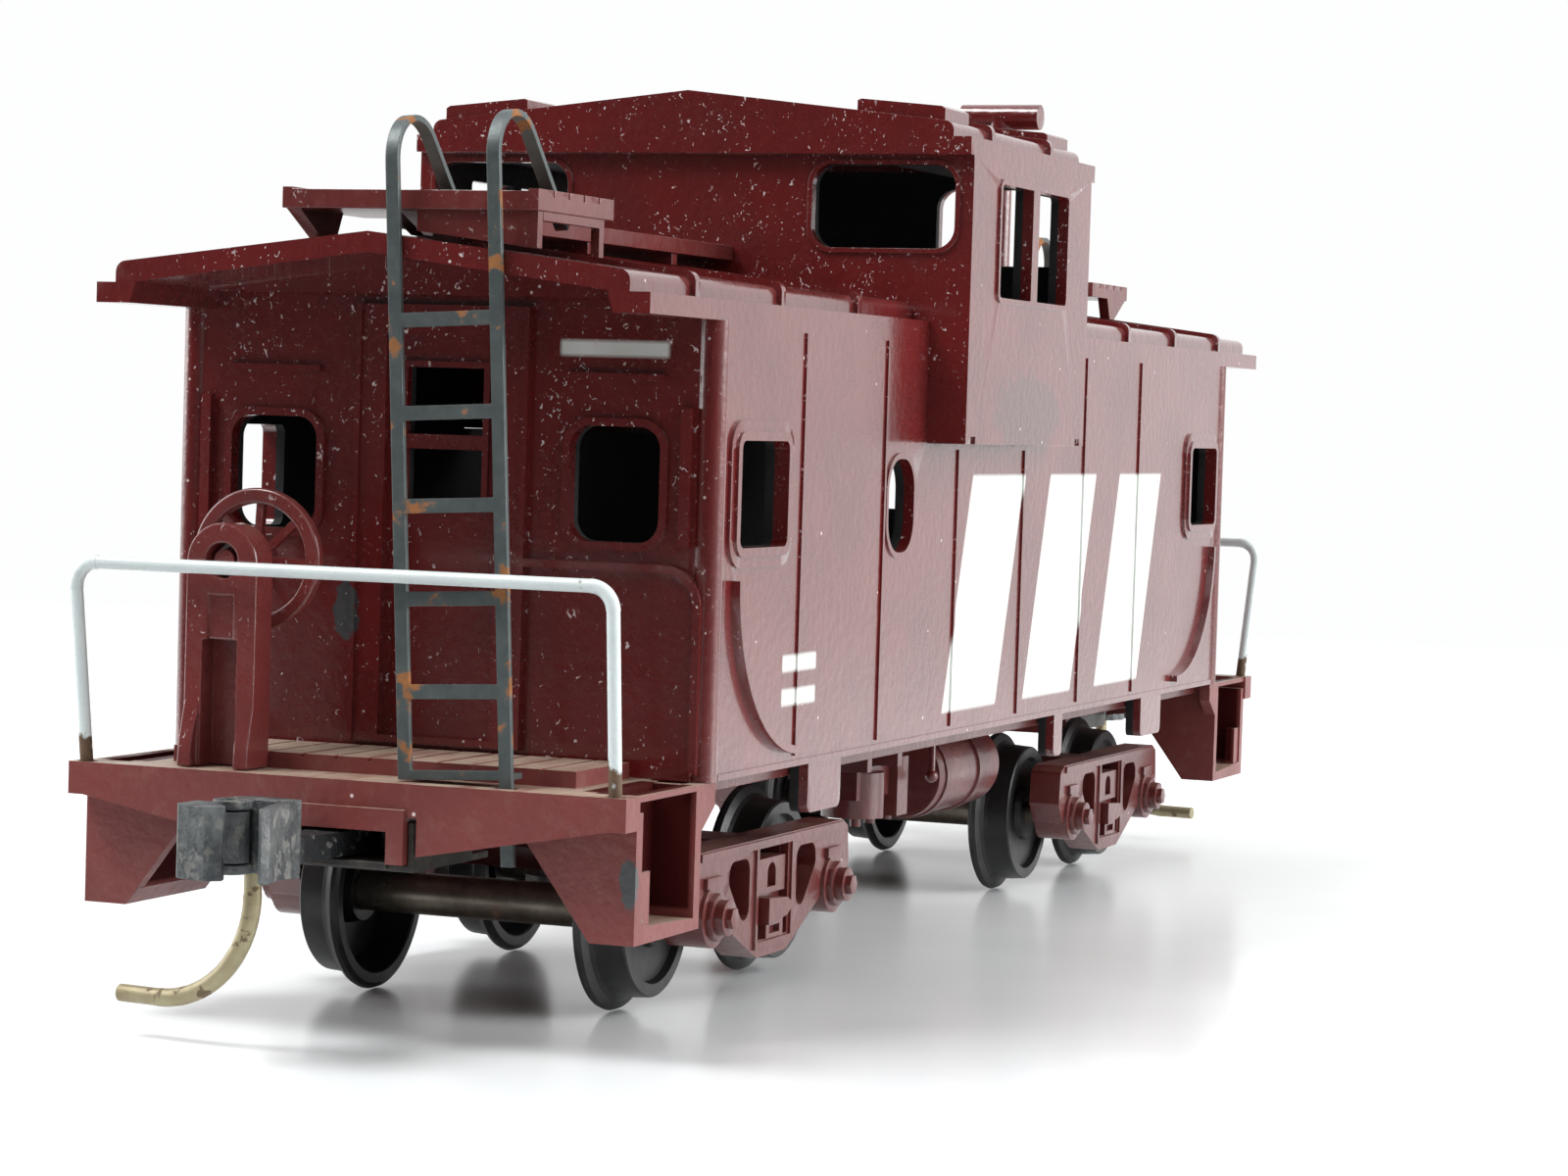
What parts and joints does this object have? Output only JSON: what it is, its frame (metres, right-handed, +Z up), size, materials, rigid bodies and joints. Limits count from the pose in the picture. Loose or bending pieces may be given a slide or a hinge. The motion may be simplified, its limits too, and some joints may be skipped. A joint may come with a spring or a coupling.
{
  "type": "model railway caboose",
  "caption": "HO-scale model caboose: wide-cupola body, end platforms with ladders, handrails and brake wheels, swivelling trucks with turning wheelsets, swinging couplers.",
  "frame": {"origin": "middle of the car's length and width, at the height that the wheel flanges stand on", "axes": "+X along the car toward the far end, +Y across the car to the left of someone facing +X, +Z up"},
  "size_m": [0.1452, 0.0376, 0.055],
  "materials": {
    "body_plastic": "dark maroon, semi-gloss",
    "truck_plastic": "dark maroon, satin",
    "strap_metal": "dull blue-grey with rust spots",
    "rail_wire": "white enamel",
    "wheel_metal": "blackened, faint sheen",
    "axle_steel": "dark steel with rust",
    "coupler_metal": "grey casting, worn edges",
    "cover_steel": "dark pressed steel",
    "brass_wire": "dull brass",
    "ballast_steel": "plain steel"
  },
  "bodies": {
    "car": {"body_shell": "body_plastic", "cupola_shell": "body_plastic", "smokejack": "body_plastic", "roof_walk_near": "body_plastic", "roof_walk_far": "body_plastic", "underframe": "truck_plastic", "ballast_weight": "ballast_steel", "end_platform_near": "body_plastic", "end_platform_far": "body_plastic", "truck_screws": "ballast_steel", "ladder_near": "strap_metal", "ladder_far": "strap_metal", "handrail_near": "rail_wire", "handrail_far": "rail_wire", "brake_stand_near": "body_plastic", "brake_stand_far": "body_plastic", "coupler_cover_near": "cover_steel", "coupler_cover_far": "cover_steel", "air_tank": "truck_plastic", "brake_valve": "truck_plastic", "brake_cylinder": "truck_plastic", "brake_pipes": "truck_plastic"},
    "brake_near": {"brake_wheel_near": "body_plastic"},
    "drawbar_near": {"coupler_near": "coupler_metal", "knuckle_pin_near": "coupler_metal", "trip_pin_near": "brass_wire"},
    "hook_near": {"knuckle_near": "coupler_metal"},
    "truck_near": {"truck_bolster_near": "truck_plastic", "sideframe_near_right": "truck_plastic", "sideframe_near_left": "truck_plastic"},
    "wheelset_1": {"axle_1": "axle_steel", "wheel_1_right": "wheel_metal", "wheel_1_left": "wheel_metal"},
    "wheelset_2": {"axle_2": "axle_steel", "wheel_2_right": "wheel_metal", "wheel_2_left": "wheel_metal"},
    "brake_far": {"brake_wheel_far": "body_plastic"},
    "drawbar_far": {"coupler_far": "coupler_metal", "knuckle_pin_far": "coupler_metal", "trip_pin_far": "brass_wire"},
    "hook_far": {"knuckle_far": "coupler_metal"},
    "truck_far": {"truck_bolster_far": "truck_plastic", "sideframe_far_right": "truck_plastic", "sideframe_far_left": "truck_plastic"},
    "wheelset_3": {"axle_3": "axle_steel", "wheel_3_right": "wheel_metal", "wheel_3_left": "wheel_metal"},
    "wheelset_4": {"axle_4": "axle_steel", "wheel_4_right": "wheel_metal", "wheel_4_left": "wheel_metal"}
  },
  "joints": [
    {"name": "truck_swivel_near", "type": "hinge", "parent": "car", "child": "truck_near", "pos_m": [-0.034, 0, 0.009], "axis": [0, 0, 1], "range_deg": [-12, 12]},
    {"name": "coupler_swing_near", "type": "hinge", "parent": "car", "child": "drawbar_near", "pos_m": [-0.0575, 0, 0.01125], "axis": [0, 0, 1], "range_deg": [-6, 22]},
    {"name": "knuckle_open_near", "type": "hinge", "parent": "drawbar_near", "child": "hook_near", "pos_m": [-0.06857, 0.00312, 0.01125], "axis": [0, 0, 1], "range_deg": [-25, 0]},
    {"name": "brake_spin_near", "type": "hinge", "parent": "car", "child": "brake_near", "pos_m": [-0.0574, 0.0081, 0.02495], "axis": [1, 0, 0], "continuous": true},
    {"name": "wheelset_spin_1", "type": "hinge", "parent": "truck_near", "child": "wheelset_1", "pos_m": [-0.04348, 0, 0.00565], "axis": [0, 1, 0], "continuous": true},
    {"name": "wheelset_spin_2", "type": "hinge", "parent": "truck_near", "child": "wheelset_2", "pos_m": [-0.02452, 0, 0.00565], "axis": [0, 1, 0], "continuous": true},
    {"name": "truck_swivel_far", "type": "hinge", "parent": "car", "child": "truck_far", "pos_m": [0.034, 0, 0.009], "axis": [0, 0, 1], "range_deg": [-12, 12]},
    {"name": "coupler_swing_far", "type": "hinge", "parent": "car", "child": "drawbar_far", "pos_m": [0.0575, 0, 0.01125], "axis": [0, 0, 1], "range_deg": [-6, 22]},
    {"name": "knuckle_open_far", "type": "hinge", "parent": "drawbar_far", "child": "hook_far", "pos_m": [0.06857, -0.00312, 0.01125], "axis": [0, 0, 1], "range_deg": [-25, 0]},
    {"name": "brake_spin_far", "type": "hinge", "parent": "car", "child": "brake_far", "pos_m": [0.0574, -0.0081, 0.02495], "axis": [1, 0, 0], "continuous": true},
    {"name": "wheelset_spin_3", "type": "hinge", "parent": "truck_far", "child": "wheelset_3", "pos_m": [0.02452, 0, 0.00565], "axis": [0, 1, 0], "continuous": true},
    {"name": "wheelset_spin_4", "type": "hinge", "parent": "truck_far", "child": "wheelset_4", "pos_m": [0.04348, 0, 0.00565], "axis": [0, 1, 0], "continuous": true}
  ]
}
